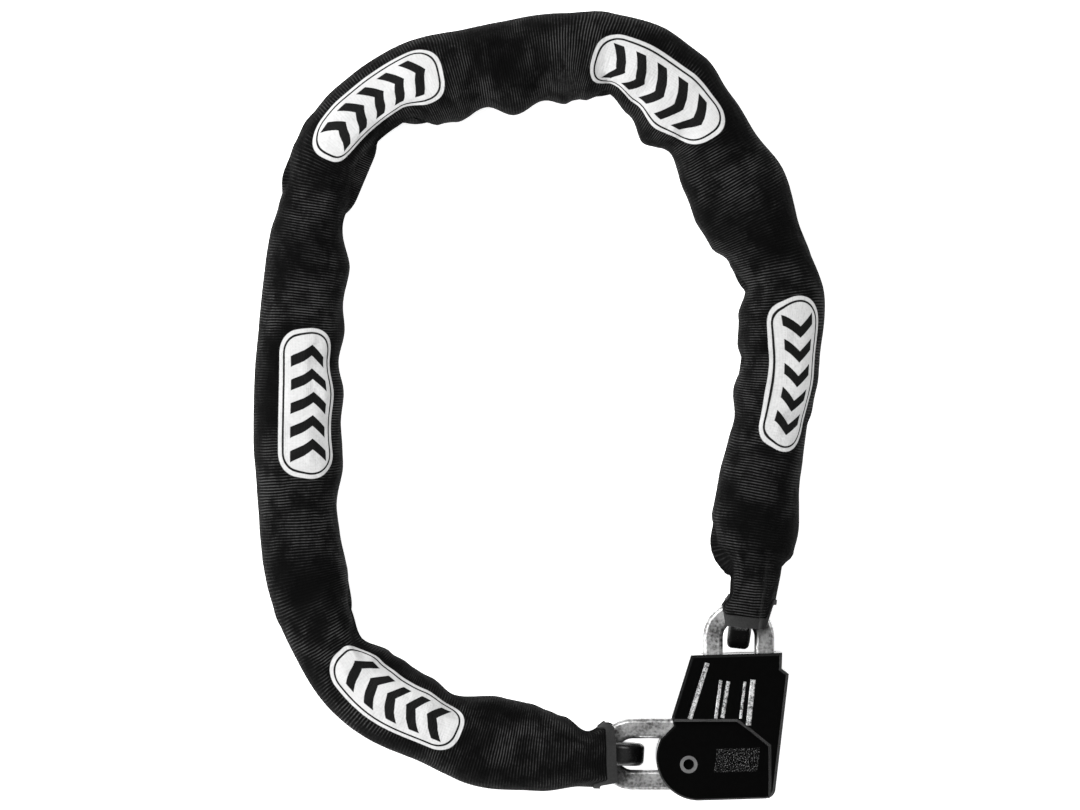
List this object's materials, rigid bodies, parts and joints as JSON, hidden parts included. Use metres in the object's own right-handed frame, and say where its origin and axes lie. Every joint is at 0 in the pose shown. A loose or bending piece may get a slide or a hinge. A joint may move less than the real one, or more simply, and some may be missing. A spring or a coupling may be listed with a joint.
{
  "type": "chain lock",
  "caption": "Closed loop of square-bar chain in a fabric sleeve, both end links held in a flat key-operated lock body.",
  "frame": {"origin": "on the resting plane under the middle of the free end link's slot, at the lock's rear face", "axes": "+Y the way the free end link leaves the lock, +Z out of the lock's front face, +X to the lock's right seen from the front"},
  "size_m": [0.2889, 0.3983, 0.0465],
  "materials": {
    "link_steel": "zinc plated, speckled",
    "sleeve_fabric": "ribbed polyester weave",
    "boot_rubber": "dipped, semi-gloss",
    "cover_plastic": "gloss black",
    "inlay_silver": "speckled silver",
    "body_steel": "machined",
    "hard_steel": "hardened, ground",
    "shield_black": "black satin",
    "cylinder_brass": "machined"
  },
  "bodies": {
    "lock_and_run": {"chain_link_01": "link_steel", "chain_link_02": "link_steel", "chain_link_03": "link_steel", "chain_link_04": "link_steel", "chain_link_05": "link_steel", "chain_link_06": "link_steel", "chain_link_07": "link_steel", "chain_link_08": "link_steel", "chain_link_09": "link_steel", "chain_link_10": "link_steel", "chain_link_11": "link_steel", "chain_link_12": "link_steel", "chain_link_13": "link_steel", "chain_link_14": "link_steel", "chain_link_15": "link_steel", "chain_link_16": "link_steel", "chain_link_17": "link_steel", "chain_link_18": "link_steel", "sleeve_run_1": "sleeve_fabric", "sleeve_run_2": "sleeve_fabric", "sleeve_run_3": "sleeve_fabric", "sleeve_cuff_left": "sleeve_fabric", "link_boot_left": "boot_rubber", "front_cover": "cover_plastic", "rear_cover": "cover_plastic", "rib_inlays": "inlay_silver", "body_front": "body_steel", "body_rear": "body_steel", "body_screws": "hard_steel", "captive_pin": "hard_steel", "pin_ring": "hard_steel", "cylinder_pin": "hard_steel", "shield_rivet": "hard_steel", "cylinder_housing": "cylinder_brass"},
    "captive_link": {"end_link_captive": "link_steel"},
    "chain_19": {"chain_link_19": "link_steel", "sleeve_19": "sleeve_fabric"},
    "chain_20": {"chain_link_20": "link_steel", "sleeve_20": "sleeve_fabric"},
    "chain_21": {"chain_link_21": "link_steel", "sleeve_21": "sleeve_fabric"},
    "chain_22": {"chain_link_22": "link_steel", "sleeve_22": "sleeve_fabric"},
    "chain_23": {"chain_link_23": "link_steel", "sleeve_23": "sleeve_fabric"},
    "chain_24": {"chain_link_24": "link_steel", "sleeve_24": "sleeve_fabric"},
    "chain_25": {"chain_link_25": "link_steel", "sleeve_25": "sleeve_fabric", "sleeve_cuff_right": "sleeve_fabric", "link_boot_right": "boot_rubber", "end_link_free": "link_steel"},
    "plug": {"plug": "cylinder_brass", "drill_plate": "hard_steel", "disc_pack": "cylinder_brass", "pinion_shaft": "hard_steel", "sidebar_springs": "hard_steel"},
    "sidebar": {"sidebar": "hard_steel"},
    "locking_bolt": {"locking_bolt": "hard_steel"},
    "keyhole_shield": {"keyhole_shield": "shield_black"}
  },
  "joints": [
    {"name": "pull_out", "type": "hinge", "parent": "lock_and_run", "child": "chain_19", "pos_m": [-0.01438, 0.29753, 0.0195], "axis": [0, 0, 1], "range_deg": [0, 31.2]},
    {"name": "bend_20", "type": "hinge", "parent": "chain_19", "child": "chain_20", "pos_m": [0.00839, 0.25527, 0.0195], "axis": [0, 0, 1], "range_deg": [-14.81, 0]},
    {"name": "bend_21", "type": "hinge", "parent": "chain_20", "child": "chain_21", "pos_m": [0.01727, 0.23383, 0.0195], "axis": [0, 0, 1], "range_deg": [-7.16, 0]},
    {"name": "bend_22", "type": "hinge", "parent": "chain_21", "child": "chain_22", "pos_m": [0.02127, 0.186, 0.0195], "axis": [0, 0, 1], "range_deg": [-14.01, 0]},
    {"name": "bend_23", "type": "hinge", "parent": "chain_22", "child": "chain_23", "pos_m": [0.01768, 0.16307, 0.0195], "axis": [0, 0, 1], "range_deg": [-26.95, 0]},
    {"name": "bend_24", "type": "hinge", "parent": "chain_23", "child": "chain_24", "pos_m": [0.00968, 0.11574, 0.0195], "axis": [0, 0, 1], "range_deg": [0, 13.66]},
    {"name": "bend_25", "type": "hinge", "parent": "chain_24", "child": "chain_25", "pos_m": [0.00529, 0.09296, 0.0195], "axis": [0, 0, 1], "range_deg": [0, 18.03]},
    {"name": "captive_swivel", "type": "hinge", "parent": "lock_and_run", "child": "captive_link", "pos_m": [-0.0255, -0.0182, 0.0195], "axis": [0, 0, 1], "range_deg": [-1.2, 1.2]},
    {"name": "key_turn", "type": "hinge", "parent": "lock_and_run", "child": "plug", "pos_m": [0.006, -0.0346, 0.03], "axis": [0, -1, 0], "range_deg": [0, 180]},
    {"name": "bolt_throw", "type": "slide", "parent": "lock_and_run", "child": "locking_bolt", "axis": [0, 0, -1], "range_m": [0, 0.00942]},
    {"name": "sidebar_lift", "type": "slide", "parent": "plug", "child": "sidebar", "axis": [0, 0, 1], "range_m": [0, 0.001]},
    {"name": "shield_swing", "type": "hinge", "parent": "lock_and_run", "child": "keyhole_shield", "pos_m": [0.006, -0.0348, 0.0175], "axis": [0, -1, 0], "range_deg": [0, 75]}
  ],
  "couplings": [
    {"joint": "bend_20", "follows": "pull_out", "ratio": -0.47404},
    {"joint": "bend_21", "follows": "pull_out", "ratio": -0.2291},
    {"joint": "bend_22", "follows": "pull_out", "ratio": -0.44838},
    {"joint": "bend_23", "follows": "pull_out", "ratio": -0.86287},
    {"joint": "bend_24", "follows": "pull_out", "ratio": 0.43724},
    {"joint": "bend_25", "follows": "pull_out", "ratio": 0.57714},
    {"joint": "key_turn", "follows": "bolt_throw", "rad_per_m": 333.33}
  ]
}
